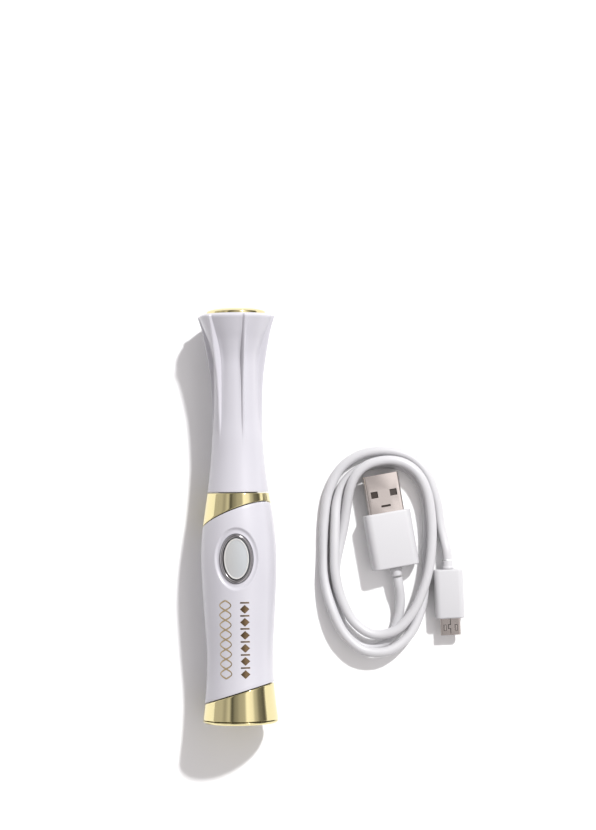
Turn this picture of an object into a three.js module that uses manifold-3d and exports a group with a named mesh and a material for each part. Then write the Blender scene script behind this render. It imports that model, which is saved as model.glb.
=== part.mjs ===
// A rechargeable heated eyelash curler with its cap on, lying on its side, and its USB charging lead.
// Millimetres. +X to the right, +Y from the base towards the cap, +Z up.
// The origin is on the resting surface, under the middle of the curler.
import * as THREE from 'three';
import { mergeVertices } from 'three/addons/utils/BufferGeometryUtils.js';
import Module from 'manifold-3d';

const wasm = await Module();
wasm.setup();

// ---- Driving dimensions, mm and degrees. Stations are measured from the base end, along the axis. ----
// The curler lies rolled a little about its axis, so its button faces slightly to the left of straight up.
const LENGTH = 139.6;
const AXIS_HEIGHT = 12.82;
const ROLL = -2.9;
const GAP = 0.3;
const WALL = 1.4;
const ROUND = 32;
const SMALL_ROUND = 20;

// The handle's outline: [station, radius].
const HANDLE_OUTLINE = [
  [0, 12.8], [12, 11.5], [23, 11.12], [38, 12.0], [54.5, 12.72], [66, 12.05], [77.1, 10.45],
];
const HANDLE_END = 77.1;
const BASE_FLANGE = 0.9;
const FLANGE_RADIUS = 12.75;
const OUTLINE_STEP = 5.5;

// Two slanted joints run round the handle: station = at + slopeX * x + slopeZ * z.
const BASE_SWOOSH = { at: 9.93, slopeX: 0.302, slopeZ: 0.038 };
const COLLAR_SWOOSH = { at: 69.5, slopeX: 0.362, slopeZ: 0.222 };
const SWOOSH_GAP = 0.35;

// The button, its bezel and the dish round them: ovals [across, along].
const BUTTON_STATION = 55.3;
const DISH_OVAL = [14.6, 20.8];
const DISH_DEPTH = 0.75;
const BEZEL_OVAL = [11.1, 16.5];
const BEZEL_INNER_OVAL = [9.05, 14.2];
const BEZEL_DROP = 0.12;
const BUTTON_OVAL = [8.55, 13.7];
const BUTTON_DROP = 0.5;
const BUTTON_FLANGE_OVAL = [10.2, 15.2];
const WINDOW_OVAL = [12, 18];
const BEZEL_FOOT = 9.3;
const BUTTON_FOOT = 8.4;
const BUTTON_STEM = { radius: 1.5, height: 1.2 };

// Inside the handle; heights are above the axis.
const SLEEVE_RADIUS = 9.4;
const SLEEVE_WALL = 1.0;
const SLEEVE_START = 3.0;
const SLEEVE_END = 72.7;
const BOARD_TOP = 4.4;
const BOARD = { width: 13, thickness: 1.0, start: 1.5, end: 66.5 };
const CELL = { radius: 5.0, start: 8, end: 52, post: 2.8, postEnd: 52.8, height: -3.0 };
const PORT = { width: 7.5, height: 2.5, wall: 0.3, start: 0.4, depth: 5.6 };

// The neck that the cap pushes onto, and the curling head.
const NECK_RADIUS = 6.6;
const NECK_START = 73.0;
const NECK_FLANGE = { radius: 9.2, end: 74.4 };
const COLLAR_PLATE = { radius: 9.8, start: 75.9 };
const SCREW = { offset: 7.95, shank: 0.8, head: 1.15, start: 66, seat: 74.7, end: 75.55 };
const NECK_END = 86.0;
const WIRE_BORE = 2.2;
const SEAT_RING = { station: 81.0, radius: 6.25, thickness: 0.42, groove: 0.75, depth: 1.1 };
const HEAD_START = 92.3;
const HEAD_RADIUS = 3.3;
const HEAD_TEETH = 14;
const TEETH_START = 94.4;
const TOOTH_PITCH = 2.25;
const TOOTH_THICKNESS = 0.7;
const SPINE_END = 125.6;
const HEAD_TIP = 128.3;
const HEATER_BAR = { width: 2.6, height: 1.7, start: 93.3, end: 124.7, level: 1.3 };
const HEATER_CORE = { radius: 0.85, start: 93.0, end: 118.6, level: -1.5 };
const WIRE = 0.8;

// The cap: six ridges with hollow channels between them, flaring to a wide rim.
const CAP_START = 77.4;
const CAP_RIM = 136.0;
const CAP_SHOULDER = 137.6;
const RIDGES = 6;
const FIRST_RIDGE = 18.4;
const RIDGE_OUTLINE = [
  [77.4, 10.3], [81.7, 9.75], [86, 9.25], [91, 8.82], [96, 8.62], [102, 8.7],
  [110, 8.9], [117, 9.4], [122.5, 10.2], [128, 11.2], [132, 12.05], [136, 13.3],
];
const FLOOR_OUTLINE = [
  [77.4, 10.3], [81.7, 9.75], [86, 9.25], [91, 8.82], [96, 8.5], [102, 7.95],
  [110, 7.72], [117, 7.68], [122.5, 7.85], [128, 9.2], [132, 10.75], [136, 12.3],
];
// One channel from ridge to ridge: [share of the sector, share of the ridge's height].
const CHANNEL_SECTION = [
  [0, 1], [0.03, 0.9], [0.09, 0.1], [0.2, 0], [0.5, 0.05], [0.84, 0], [0.93, 0.1], [0.98, 0.9],
];
const CAP_BORE = 6.6;
const CAP_MOUTH_BORE = 7.8;
const LINER = { outer: 7.5, inner: 6.9, start: 77.9, end: 90.2 };
const END_DISC_RADIUS = 10.0;
const END_RECESS = 136.3;

// The charging lead.
const CORD_DIAMETER = 3.3;
const CORD_STEPS = 80;
const USB_A = { x: 50.0, y: 0.1, z: 4.58, yaw: 9.2, roll: 8 };
const USB_A_SHELL = [12, 4.5];
const USB_A_CONTACT_PITCH = 2.4;
const USB_A_SHELL_LENGTH = 13;
const USB_A_GRIP = [16, 7.6];
const USB_A_GRIP_LENGTH = 19;
const MICRO = { x: 71.3, y: -36.1, z: 3.52, yaw: 181.7, roll: 0 };
const MICRO_SHELL = [6.85, 1.85];
const MICRO_SHELL_LENGTH = 5.7;
const MICRO_GRIP = [9.9, 7.0];
const MICRO_GRIP_LENGTH = 16.6;
const RELIEF_LENGTH = 2.7;
const SHEET_METAL = 0.3;

// The cord's centreline: almost three loose turns, from the USB-A plug to the micro-USB plug.
const CORD_ROUTE = [
  [53.53, -22.0, 4.58], [53.95, -24.6, 4.3], [54.4, -28.4, 3.2], [54.2, -33.2, 2.1], [53.1, -38.0, 1.75],
  [50.8, -42.4, 1.7], [46.9, -45.4, 1.67], [42.0, -45.6, 1.67], [37.3, -42.4, 1.67], [34.0, -36.0, 1.67],
  [32.4, -28.4, 1.67], [32.4, -21.0, 1.67], [33.3, -14.6, 1.67], [34.6, -9.0, 1.7], [35.7, -4.0, 2.15],
  [36.5, 1.0, 2.95], [37.2, 5.4, 3.9], [38.2, 9.4, 4.7], [40.1, 13.1, 5.1], [43.4, 15.9, 5.2],
  [47.8, 17.4, 5.2], [52.6, 17.6, 5.2], [57.2, 16.2, 5.2], [61.0, 13.0, 5.15], [63.8, 7.4, 5.0],
  [65.2, -0.6, 4.9], [65.4, -9.4, 4.9], [64.5, -18.0, 4.95], [62.1, -26.6, 5.0], [58.2, -34.4, 5.0],
  [52.2, -40.2, 5.0], [45.0, -41.2, 4.6], [38.9, -37.2, 4.4], [34.7, -29.6, 4.8], [32.5, -20.4, 5.0],
  [32.4, -11.6, 4.6], [32.7, -3.4, 3.4], [33.3, 3.6, 2.25], [35.6, 9.6, 1.72], [39.8, 13.9, 1.67],
  [46.0, 16.3, 1.67], [52.6, 16.4, 1.67], [58.2, 14.2, 1.67], [62.0, 9.2, 1.67], [63.9, 2.2, 1.67],
  [64.2, -6.6, 1.67], [63.8, -15.8, 1.67], [63.0, -25.0, 1.72], [61.2, -34.0, 2.4], [57.0, -42.0, 3.6],
  [49.8, -47.0, 4.95], [41.8, -46.6, 4.95], [35.5, -41.2, 4.95], [31.4, -32.8, 4.6], [29.0, -23.2, 3.1],
  [28.8, -13.2, 1.95], [29.0, -3.2, 1.68], [30.6, 7.2, 1.67], [35.0, 15.4, 1.67], [42.0, 19.9, 1.67],
  [50.2, 20.9, 1.67], [58.3, 18.8, 1.67], [63.8, 13.6, 1.67], [67.2, 4.6, 1.68], [68.5, -4.2, 1.85],
  [69.7, -9.9, 2.6], [70.45, -13.4, 3.4], [70.72, -16.2, 3.52],
];

// ---- Materials ----
function material(colour, roughness, metalness) {
  return new THREE.MeshStandardMaterial({ color: colour, roughness, metalness });
}
const WHITE = material(0xe9e7ee, 0.22, 0);
const GOLD = material(0xd8c98a, 0.12, 1);
const DARK_CHROME = material(0x6c6a70, 0.1, 1);
const LENS = material(0xc6cccf, 0.3, 0);
const FROSTED = material(0xdfe6ea, 0.5, 0);
const INNER_GREY = material(0x3a3b3f, 0.6, 0);
const HEAT_RESIN = material(0x2a2a2d, 0.45, 0);
const HOT_METAL = material(0xc8a562, 0.25, 1);
const CERAMIC = material(0xf2efe8, 0.6, 0);
const INSULATOR_BROWN = material(0x2c1f18, 0.5, 0);
const BOARD_GREEN = material(0x1d5c38, 0.5, 0);
const CHIP_BLACK = material(0x17181a, 0.45, 0);
const STEEL = material(0xb9b4ac, 0.2, 1);
const NICKEL = material(0xbfc0bd, 0.3, 1);
const CELL_BLUE = material(0x2c5a8c, 0.4, 0);
const FOAM = material(0x4a4a4c, 0.95, 0);
const RED = material(0xa32020, 0.5, 0);
const BLACK = material(0x151515, 0.5, 0);
const SEAL = material(0xd9d7d2, 0.7, 0);
const LEAD_WHITE = material(0xe9e9ec, 0.4, 0);
const CONTACT_GOLD = material(0xd4a843, 0.2, 1);

// ---- Geometry helpers ----
// A closed three.js geometry as a solid that can be joined and cut.
function solid(geometry) {
  const bare = geometry.clone();
  bare.deleteAttribute('normal');
  bare.deleteAttribute('uv');
  const merged = mergeVertices(bare, 1e-4);
  const index = merged.index.array;
  const triangles = [];
  for (let i = 0; i < index.length; i += 3) {
    const [a, b, c] = [index[i], index[i + 1], index[i + 2]];
    if (a !== b && b !== c && c !== a) triangles.push(a, b, c);
  }
  return new wasm.Manifold(new wasm.Mesh({
    numProp: 3,
    vertProperties: new Float32Array(merged.attributes.position.array),
    triVerts: new Uint32Array(triangles),
  }));
}

function geometryOf(body) {
  const mesh = body.getMesh();
  const geometry = new THREE.BufferGeometry();
  geometry.setAttribute('position', new THREE.BufferAttribute(new Float32Array(mesh.vertProperties), 3));
  geometry.setIndex(new THREE.BufferAttribute(new Uint32Array(mesh.triVerts), 1));
  geometry.computeVertexNormals();
  return geometry;
}

// The radius at a station, on a smooth curve through [station, radius] pairs.
function radiusAt(outline, station) {
  const last = outline.length - 1;
  let i = 0;
  while (i < last - 1 && station > outline[i + 1][0]) i += 1;
  const slope = (k) => {
    const [a, b] = [outline[Math.max(k - 1, 0)], outline[Math.min(k + 1, last)]];
    return (b[1] - a[1]) / (b[0] - a[0]);
  };
  const [[s0, r0], [s1, r1]] = [outline[i], outline[i + 1]];
  const span = s1 - s0;
  const t = (station - s0) / span;
  return r0 * (1 + 2 * t) * (1 - t) ** 2 + slope(i) * span * t * (1 - t) ** 2
    + r1 * t * t * (3 - 2 * t) + slope(i + 1) * span * t * t * (t - 1);
}

// Stations from start to end, evenly spaced and no more than a step apart.
function stations(start, end, step) {
  const count = Math.ceil((end - start) / step);
  return Array.from({ length: count + 1 }, (_, i) => start + (end - start) * i / count);
}

// A solid of revolution about the curler's axis from [radius, station] points, anticlockwise.
function turned(points, segments = ROUND) {
  const profile = points.map(([radius, station]) => new THREE.Vector2(radius, station));
  const onAxis = points[0][0] === 0 && points[points.length - 1][0] === 0;
  if (!onAxis) profile.push(profile[0].clone());
  return new THREE.LatheGeometry(profile, segments);
}

function cylinder(radius, start, end, segments = SMALL_ROUND) {
  return turned([[0, start], [radius, start], [radius, end], [0, end]], segments);
}

function ring(inner, outer, start, end, segments = ROUND) {
  return turned([[inner, start], [outer, start], [outer, end], [inner, end]], segments);
}

// The handle's outline moved inwards by an inset, as a solid between two stations.
function handleCore(inset, start, end, step = OUTLINE_STEP) {
  const side = stations(start, end, step).map((s) => [radiusAt(HANDLE_OUTLINE, s) - inset, s]);
  return solid(turned([[0, start], ...side, [0, end]]));
}

function handleShell(start, end) {
  const inside = handleCore(WALL, start - 1, end + 1, 2 * OUTLINE_STEP);
  return handleCore(0, start, end).subtract(inside);
}

// Everything on the base side of a slanted joint.
function baseSideOf({ at, slopeX, slopeZ }, shift) {
  const block = new THREE.BoxGeometry(60, 120, 60).translate(0, -60, 0);
  const shear = new THREE.Matrix4().set(1, 0, 0, 0, slopeX, 1, slopeZ, at + shift, 0, 0, 1, 0, 0, 0, 0, 1);
  return solid(block.applyMatrix4(shear));
}

// An upright oval column over the button's place.
function ovalColumn([across, along], bottom, top, segments = 14) {
  const oval = new THREE.Shape();
  oval.absellipse(0, 0, across / 2, along / 2, 0, 2 * Math.PI);
  const column = new THREE.ExtrudeGeometry(
    oval,
    { depth: top - bottom, curveSegments: segments, bevelEnabled: false },
  );
  return solid(column.translate(0, BUTTON_STATION, bottom));
}

// An upright round post under the button, centred at a height above the axis.
function upright(radius, height, middle) {
  const post = new THREE.CylinderGeometry(radius, radius, height, SMALL_ROUND).rotateX(Math.PI / 2);
  return post.translate(0, BUTTON_STATION, middle);
}

function roundedRectangle(width, height, radius) {
  const [w, h] = [width / 2, height / 2];
  const shape = new THREE.Shape();
  shape.absarc(w - radius, h - radius, radius, 0, Math.PI / 2);
  shape.absarc(-w + radius, h - radius, radius, Math.PI / 2, Math.PI);
  shape.absarc(-w + radius, -h + radius, radius, Math.PI, 1.5 * Math.PI);
  shape.absarc(w - radius, -h + radius, radius, 1.5 * Math.PI, 2 * Math.PI);
  shape.closePath();
  return shape;
}

// A rounded rectangle in X and Z, run along +Y from start to end.
function bar(width, height, radius, start, end) {
  const geometry = new THREE.ExtrudeGeometry(
    roundedRectangle(width, height, radius),
    { depth: end - start, curveSegments: 3, bevelEnabled: false },
  );
  return geometry.rotateX(-Math.PI / 2).translate(0, start, 0);
}

function box(width, length, height, x, y, z) {
  return new THREE.BoxGeometry(width, length, height).translate(x, y, z);
}

function tube(points, diameter, steps, sides = 8) {
  const path = new THREE.CatmullRomCurve3(points.map((p) => new THREE.Vector3(...p)), false, 'centripetal');
  const section = new THREE.Shape();
  for (let i = 0; i < sides; i += 1) {
    const angle = 2 * Math.PI * i / sides;
    const corner = [diameter / 2 * Math.cos(angle), diameter / 2 * Math.sin(angle)];
    if (i === 0) section.moveTo(...corner);
    else section.lineTo(...corner);
  }
  section.closePath();
  return new THREE.ExtrudeGeometry(section, { steps, extrudePath: path, bevelEnabled: false });
}

function add(group, name, geometry, look) {
  const mesh = new THREE.Mesh(geometry, look);
  mesh.name = name;
  group.add(mesh);
}

// ---- Handle: casings ----
function addCasings(curler) {
  const bezelTop = handleCore(BEZEL_DROP, BUTTON_STATION - 12, BUTTON_STATION + 12, 2);
  const buttonTop = handleCore(BUTTON_DROP, BUTTON_STATION - 12, BUTTON_STATION + 12, 2);
  const dishFloor = handleCore(DISH_DEPTH, BUTTON_STATION - 14, BUTTON_STATION + 14, 2);
  const dish = ovalColumn(DISH_OVAL, 0, 20).subtract(dishFloor);
  const bezelHole = ovalColumn([BEZEL_OVAL[0] + 2 * GAP, BEZEL_OVAL[1] + 2 * GAP], 0, 20);

  const body = handleShell(2, HANDLE_END)
    .subtract(baseSideOf(BASE_SWOOSH, SWOOSH_GAP))
    .intersect(baseSideOf(COLLAR_SWOOSH, 0))
    .subtract(dish)
    .subtract(bezelHole);
  add(curler, 'body_shell', geometryOf(body), WHITE);

  const baseRing = handleShell(BASE_FLANGE + GAP, 20).intersect(baseSideOf(BASE_SWOOSH, 0));
  add(curler, 'base_ring', geometryOf(baseRing), GOLD);

  const plate = solid(ring(NECK_RADIUS + GAP, COLLAR_PLATE.radius, COLLAR_PLATE.start, HANDLE_END));
  const collar = handleShell(60, HANDLE_END).subtract(baseSideOf(COLLAR_SWOOSH, SWOOSH_GAP)).add(plate);
  add(curler, 'neck_collar', geometryOf(collar), GOLD);

  const flange = solid(turned([
    [0, 0], [FLANGE_RADIUS - 0.65, 0], [FLANGE_RADIUS, 0.6], [FLANGE_RADIUS, BASE_FLANGE], [0, BASE_FLANGE],
  ]));
  const spigot = solid(ring(SLEEVE_RADIUS + GAP, 10.5, BASE_FLANGE - 0.2, 4.0));
  const portHeight = BOARD_TOP + GAP + PORT.height / 2;
  const portHole = solid(
    bar(PORT.width + 2 * GAP, PORT.height + 2 * GAP, 1.0, -1, 4).translate(0, 0, portHeight),
  );
  add(curler, 'base_cap', geometryOf(flange.add(spigot).subtract(portHole)), GOLD);

  const bezel = ovalColumn(BEZEL_OVAL, BEZEL_FOOT, 20)
    .subtract(ovalColumn(BEZEL_INNER_OVAL, 0, 30))
    .intersect(bezelTop);
  add(curler, 'button_bezel', geometryOf(bezel), DARK_CHROME);

  const stem = solid(upright(BUTTON_STEM.radius, BUTTON_STEM.height, BUTTON_FOOT - 0.2));
  const button = ovalColumn(BUTTON_OVAL, BUTTON_FOOT, 20)
    .intersect(buttonTop)
    .add(ovalColumn(BUTTON_FLANGE_OVAL, BUTTON_FOOT, BUTTON_FOOT + 0.6))
    .add(stem);
  add(curler, 'power_button', geometryOf(button), LENS);
}

// The two clearance holes for the neck's screws.
function withScrewHoles(body) {
  let drilled = body;
  for (const side of [-1, 1]) {
    const hole = cylinder(SCREW.shank + GAP, 60, 80).translate(side * SCREW.offset, 0, 0);
    drilled = drilled.subtract(solid(hole));
  }
  return drilled;
}

// ---- Handle: frame, cell, board and wiring ----
function addInternals(curler) {
  const sleeve = solid(ring(SLEEVE_RADIUS - SLEEVE_WALL, SLEEVE_RADIUS, SLEEVE_START, SLEEVE_END, 28));
  const endRing = solid(ring(5.8, SLEEVE_RADIUS - 0.2, 70.0, SLEEVE_END, 28));
  const frame = sleeve.add(endRing).subtract(ovalColumn(WINDOW_OVAL, 0, 20));
  add(curler, 'inner_frame', geometryOf(withScrewHoles(frame)), INNER_GREY);

  const cell = turned([
    [0, CELL.start], [CELL.radius, CELL.start], [CELL.radius, CELL.end],
    [CELL.post, CELL.end], [CELL.post, CELL.postEnd], [0, CELL.postEnd],
  ], 24);
  add(curler, 'battery_cell', cell.translate(0, 0, CELL.height), CELL_BLUE);
  add(curler, 'battery_tab_front', box(4, 0.3, 7, 0, 53.3, -1), NICKEL);
  add(curler, 'battery_tab_rear', box(4, 0.3, 7, 0, 7.5, -1), NICKEL);
  add(curler, 'battery_pad_front', cylinder(4.5, 53.8, 57.6).translate(0, 0, -3), FOAM);
  add(curler, 'battery_pad_rear', cylinder(4.5, 4.2, 7.0).translate(0, 0, -3.2), FOAM);

  const boardMiddle = (BOARD.start + BOARD.end) / 2;
  const boardHeight = BOARD_TOP - BOARD.thickness / 2;
  const onBoard = BOARD_TOP + GAP;
  add(curler, 'circuit_board',
    box(BOARD.width, BOARD.end - BOARD.start, BOARD.thickness, 0, boardMiddle, boardHeight), BOARD_GREEN);
  add(curler, 'charger_chip', box(3, 3, 0.9, 0, 13, onBoard + 0.45), CHIP_BLACK);
  add(curler, 'power_inductor', box(4, 4, 2, 0, 21, onBoard + 1), CHIP_BLACK);
  add(curler, 'control_chip', box(5, 5, 0.9, 0, 31, onBoard + 0.45), CHIP_BLACK);

  const well = solid(upright(1.3, 4, 7.3));
  const switchBody = solid(box(4.5, 4.5, 1.5, 0, BUTTON_STATION, onBoard + 0.75)).subtract(well);
  add(curler, 'tact_switch', geometryOf(switchBody), CHIP_BLACK);
  add(curler, 'switch_plunger', upright(1, 1.3, 6.65), CERAMIC);
  add(curler, 'led_ready', box(1.6, 0.9, 0.7, 0, BUTTON_STATION + 4.2, onBoard + 0.35), FROSTED);
  add(curler, 'led_charge', box(1.6, 0.9, 0.7, 0, BUTTON_STATION - 4.2, onBoard + 0.35), FROSTED);
  const guide = ovalColumn([8.2, 12.8], 5.7, 7.4).subtract(ovalColumn([5.8, 10.4], 5, 9));
  add(curler, 'light_guide', geometryOf(guide), FROSTED);

  const portHeight = onBoard + PORT.height / 2;
  const portEnd = PORT.start + PORT.depth;
  const [hollowWidth, hollowHeight] = [PORT.width - 2 * PORT.wall, PORT.height - 2 * PORT.wall];
  const portHollow = bar(hollowWidth, hollowHeight, 0.5, PORT.start - 1, portEnd + 1);
  const portShell = solid(bar(PORT.width, PORT.height, 0.8, PORT.start, portEnd)).subtract(solid(portHollow));
  add(curler, 'charge_port_shell', geometryOf(portShell.translate(0, 0, portHeight)), STEEL);
  const portBlock = solid(box(6, 1.2, 1.3, 0, portEnd - 0.6, portHeight));
  const portTongue = solid(box(3.5, 3.8, 0.6, 0, portEnd - 2.6, portHeight));
  add(curler, 'charge_port_insulator', geometryOf(portBlock.add(portTongue)), CHIP_BLACK);

  add(curler, 'thermal_fuse', cylinder(1, 58.4, 64.4).translate(0, 0, 1.8), NICKEL);
  const positiveRoute = [[1.4, 54.2, 2.0], [1.6, 55.4, 2.4], [2.4, 57.4, 2.6], [3.2, 60, 2.7]];
  add(curler, 'battery_lead_positive', tube(positiveRoute, WIRE, 10), RED);
  const negativeRoute = [[-2, 6.9, 1.4], [-2.6, 7.6, 2.6], [-2.8, 9.6, 2.8], [-3, 13, 2.8]];
  add(curler, 'battery_lead_negative', tube(negativeRoute, WIRE, 10), BLACK);
  for (const [name, side, look] of [['heater_lead_positive', 1, RED], ['heater_lead_negative', -1, BLACK]]) {
    const route = [[2, 66.9, 3.0], [1.6, 69.5, 2.2], [1, 73, 0.8], [0.9, 80, 0], [0.9, 91.6, 0]];
    add(curler, name, tube(route.map(([x, s, z]) => [side * x, s, z]), WIRE, 14), look);
  }
  for (const [name, side] of [['neck_screw_left', -1], ['neck_screw_right', 1]]) {
    const screw = turned([
      [0, SCREW.start], [SCREW.shank, SCREW.start], [SCREW.shank, SCREW.seat],
      [SCREW.head, SCREW.seat], [SCREW.head, SCREW.end], [0, SCREW.end],
    ], 16);
    add(curler, name, screw.translate(side * SCREW.offset, 0, 0), STEEL);
  }
}

// ---- Neck and curling head ----
function addHead(curler) {
  const { station, groove, depth } = SEAT_RING;
  const neckProfile = [
    [WIRE_BORE, NECK_START], [NECK_FLANGE.radius, NECK_START], [NECK_FLANGE.radius, NECK_FLANGE.end],
    [NECK_RADIUS, NECK_FLANGE.end], [NECK_RADIUS, station - groove], [NECK_RADIUS - depth, station - groove],
    [NECK_RADIUS - depth, station + groove], [NECK_RADIUS, station + groove], [NECK_RADIUS, NECK_END - 0.5],
    [NECK_RADIUS - 0.5, NECK_END], [WIRE_BORE, NECK_END],
  ];
  add(curler, 'neck', geometryOf(withScrewHoles(solid(turned(neckProfile, 28)))), WHITE);
  const seatRing = new THREE.TorusGeometry(SEAT_RING.radius, SEAT_RING.thickness, 6, 28).rotateX(Math.PI / 2);
  add(curler, 'cap_seat_ring', seatRing.translate(0, station, 0), SEAL);
  add(curler, 'head_nose', turned([
    [WIRE_BORE, NECK_END + GAP], [6.0, NECK_END + GAP], [5.4, 88.6], [4.5, 91.0],
    [4.3, HEAD_START - GAP], [WIRE_BORE, HEAD_START - GAP],
  ]), HEAT_RESIN);

  // The comb: a half-round spine with a groove for the heater, and two rows of teeth.
  const tip = turned([
    [0, SPINE_END - 0.2], [HEAD_RADIUS, SPINE_END - 0.2], [2.8, 127.2], [1.6, 128.1], [0, HEAD_TIP],
  ], 28);
  const spine = solid(cylinder(HEAD_RADIUS, HEAD_START, SPINE_END, 28))
    .add(solid(tip))
    .subtract(solid(box(20, 31.8, 4, 0, 109, 3.3)))
    .subtract(solid(box(3.4, 32.2, 4, 0, 109, 2.0)))
    .subtract(solid(cylinder(1.2, HEAD_START - 1, 119).translate(0, 0, HEATER_CORE.level)));
  const tooth = new THREE.Shape([[1.95, 0.6], [3.0, 0.6], [3.35, 2.4], [2.9, 4.5], [2.45, 4.6], [2.1, 2.6]]
    .map(([x, z]) => new THREE.Vector2(x, z)));
  let comb = spine;
  for (let i = 0; i < HEAD_TEETH; i += 1) {
    const at = TEETH_START + i * TOOTH_PITCH;
    for (const side of [-1, 1]) {
      const plate = new THREE.ExtrudeGeometry(tooth, { depth: TOOTH_THICKNESS, bevelEnabled: false });
      plate.rotateX(Math.PI / 2).translate(0, at + TOOTH_THICKNESS, 0);
      let fin = solid(plate);
      if (side < 0) fin = fin.mirror([1, 0, 0]);
      comb = comb.add(fin);
    }
  }
  add(curler, 'comb_frame', geometryOf(comb), HEAT_RESIN);
  const heaterBar = bar(HEATER_BAR.width, HEATER_BAR.height, 0.7, HEATER_BAR.start, HEATER_BAR.end);
  add(curler, 'heater_bar', heaterBar.translate(0, 0, HEATER_BAR.level), HOT_METAL);
  const core = cylinder(HEATER_CORE.radius, HEATER_CORE.start, HEATER_CORE.end, 16);
  add(curler, 'heating_element', core.translate(0, 0, HEATER_CORE.level), CERAMIC);
}

// ---- Cap ----
// The ridged outside: one closed ring of points at each station.
function ridgedCap() {
  const levels = [...stations(CAP_START, 94, 5.6), ...stations(98, CAP_RIM, 4.3)];
  const rings = levels.map((s) => (
    { s, ridge: radiusAt(RIDGE_OUTLINE, s), floor: radiusAt(FLOOR_OUTLINE, s) }
  ));
  rings.push({ s: CAP_SHOULDER, ridge: END_DISC_RADIUS + 0.8, floor: END_DISC_RADIUS + 0.8 });
  const perRing = RIDGES * CHANNEL_SECTION.length;
  const positions = [];
  for (const { s, ridge, floor } of rings) {
    for (let k = 0; k < RIDGES; k += 1) {
      for (const [share, height] of CHANNEL_SECTION) {
        const angle = THREE.MathUtils.degToRad(FIRST_RIDGE + (k + share) * 360 / RIDGES);
        const radius = floor + (ridge - floor) * height;
        positions.push(radius * Math.sin(angle), s, radius * Math.cos(angle));
      }
    }
  }
  const index = [];
  for (let level = 0; level < rings.length - 1; level += 1) {
    for (let i = 0; i < perRing; i += 1) {
      const [a, b] = [level * perRing + i, level * perRing + (i + 1) % perRing];
      index.push(a, b, b + perRing, a, b + perRing, a + perRing);
    }
  }
  const top = (rings.length - 1) * perRing;
  positions.push(0, rings[0].s, 0, 0, CAP_SHOULDER, 0);
  const centre = rings.length * perRing;
  for (let i = 0; i < perRing; i += 1) {
    const next = (i + 1) % perRing;
    index.push(centre, next, i, centre + 1, top + i, top + next);
  }
  const geometry = new THREE.BufferGeometry();
  geometry.setAttribute('position', new THREE.Float32BufferAttribute(positions, 3));
  geometry.setIndex(index);
  return solid(geometry);
}

function addCap(curler) {
  const bore = solid(turned([
    [0, 70], [CAP_MOUTH_BORE, 70], [CAP_MOUTH_BORE, 90.5], [CAP_BORE, 92.2],
    [CAP_BORE, 130], [5.4, 133.4], [0, 134.2],
  ]));
  const recess = solid(cylinder(END_DISC_RADIUS + GAP, END_RECESS, 150, ROUND));
  add(curler, 'cap_shell', geometryOf(ridgedCap().subtract(bore).subtract(recess)), WHITE);
  add(curler, 'cap_liner', ring(LINER.inner, LINER.outer, LINER.start, LINER.end, 28), FROSTED);
  add(curler, 'cap_end_disc', turned([
    [0, END_RECESS + GAP], [END_DISC_RADIUS, END_RECESS + GAP], [END_DISC_RADIUS, 137.9], [9.4, 138.5],
    [6.6, 139.2], [3.2, 139.53], [0, LENGTH],
  ]), GOLD);
}

// ---- Charging lead ----
// A plug's own frame: its tip points along +Y and its grip starts at y = 0.
function plugGroup({ x, y, z, yaw, roll }) {
  const group = new THREE.Group();
  group.position.set(x, y, z);
  group.rotation.set(0, THREE.MathUtils.degToRad(roll), THREE.MathUtils.degToRad(yaw), 'ZYX');
  return group;
}

function sheetTube([width, height], radius, start, end) {
  const outer = solid(bar(width, height, radius, start, end));
  const [holeWidth, holeHeight] = [width - 2 * SHEET_METAL, height - 2 * SHEET_METAL];
  const hole = bar(holeWidth, holeHeight, radius - SHEET_METAL / 2, start - 1, end + 1);
  return outer.subtract(solid(hole));
}

// A moulded grip with a pocket for the metal shell.
function grip([width, height], radius, length, [shellWidth, shellHeight]) {
  const pocket = bar(shellWidth + 2 * GAP, shellHeight + 2 * GAP, 0.6, -4 - GAP, 1);
  return solid(bar(width, height, radius, -length, 0)).subtract(solid(pocket));
}

function relief(gripLength) {
  const end = -gripLength - GAP;
  return turned([[0, end - RELIEF_LENGTH], [1.7, end - RELIEF_LENGTH], [1.95, end], [0, end]]);
}

function addUsbA(lead) {
  const plug = plugGroup(USB_A);
  let shell = sheetTube(USB_A_SHELL, 0.6, -4, USB_A_SHELL_LENGTH);
  for (const x of [-3.3, 3.3]) {
    shell = shell.subtract(solid(box(2.4, 2.2, 10, x, 6.4, 0)));
  }
  shell = shell.subtract(solid(box(3.2, 0.7, 3, 0, 2.2, 2)));
  add(plug, 'usb_a_shell', geometryOf(shell), STEEL);
  add(plug, 'usb_a_insulator', box(10.8, 15.2, 1.7, 0, 4.4, 0.95), INSULATOR_BROWN);
  for (let i = 0; i < 4; i += 1) {
    const contact = box(1.1, 8.6, 0.2, (i - 1.5) * USB_A_CONTACT_PITCH, 7.2, -0.3);
    add(plug, `usb_a_contact_${i + 1}`, contact, CONTACT_GOLD);
  }
  add(plug, 'usb_a_grip', geometryOf(grip(USB_A_GRIP, 2.4, USB_A_GRIP_LENGTH, USB_A_SHELL)), LEAD_WHITE);
  add(plug, 'usb_a_strain_relief', relief(USB_A_GRIP_LENGTH), LEAD_WHITE);
  lead.add(plug);
}

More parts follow.
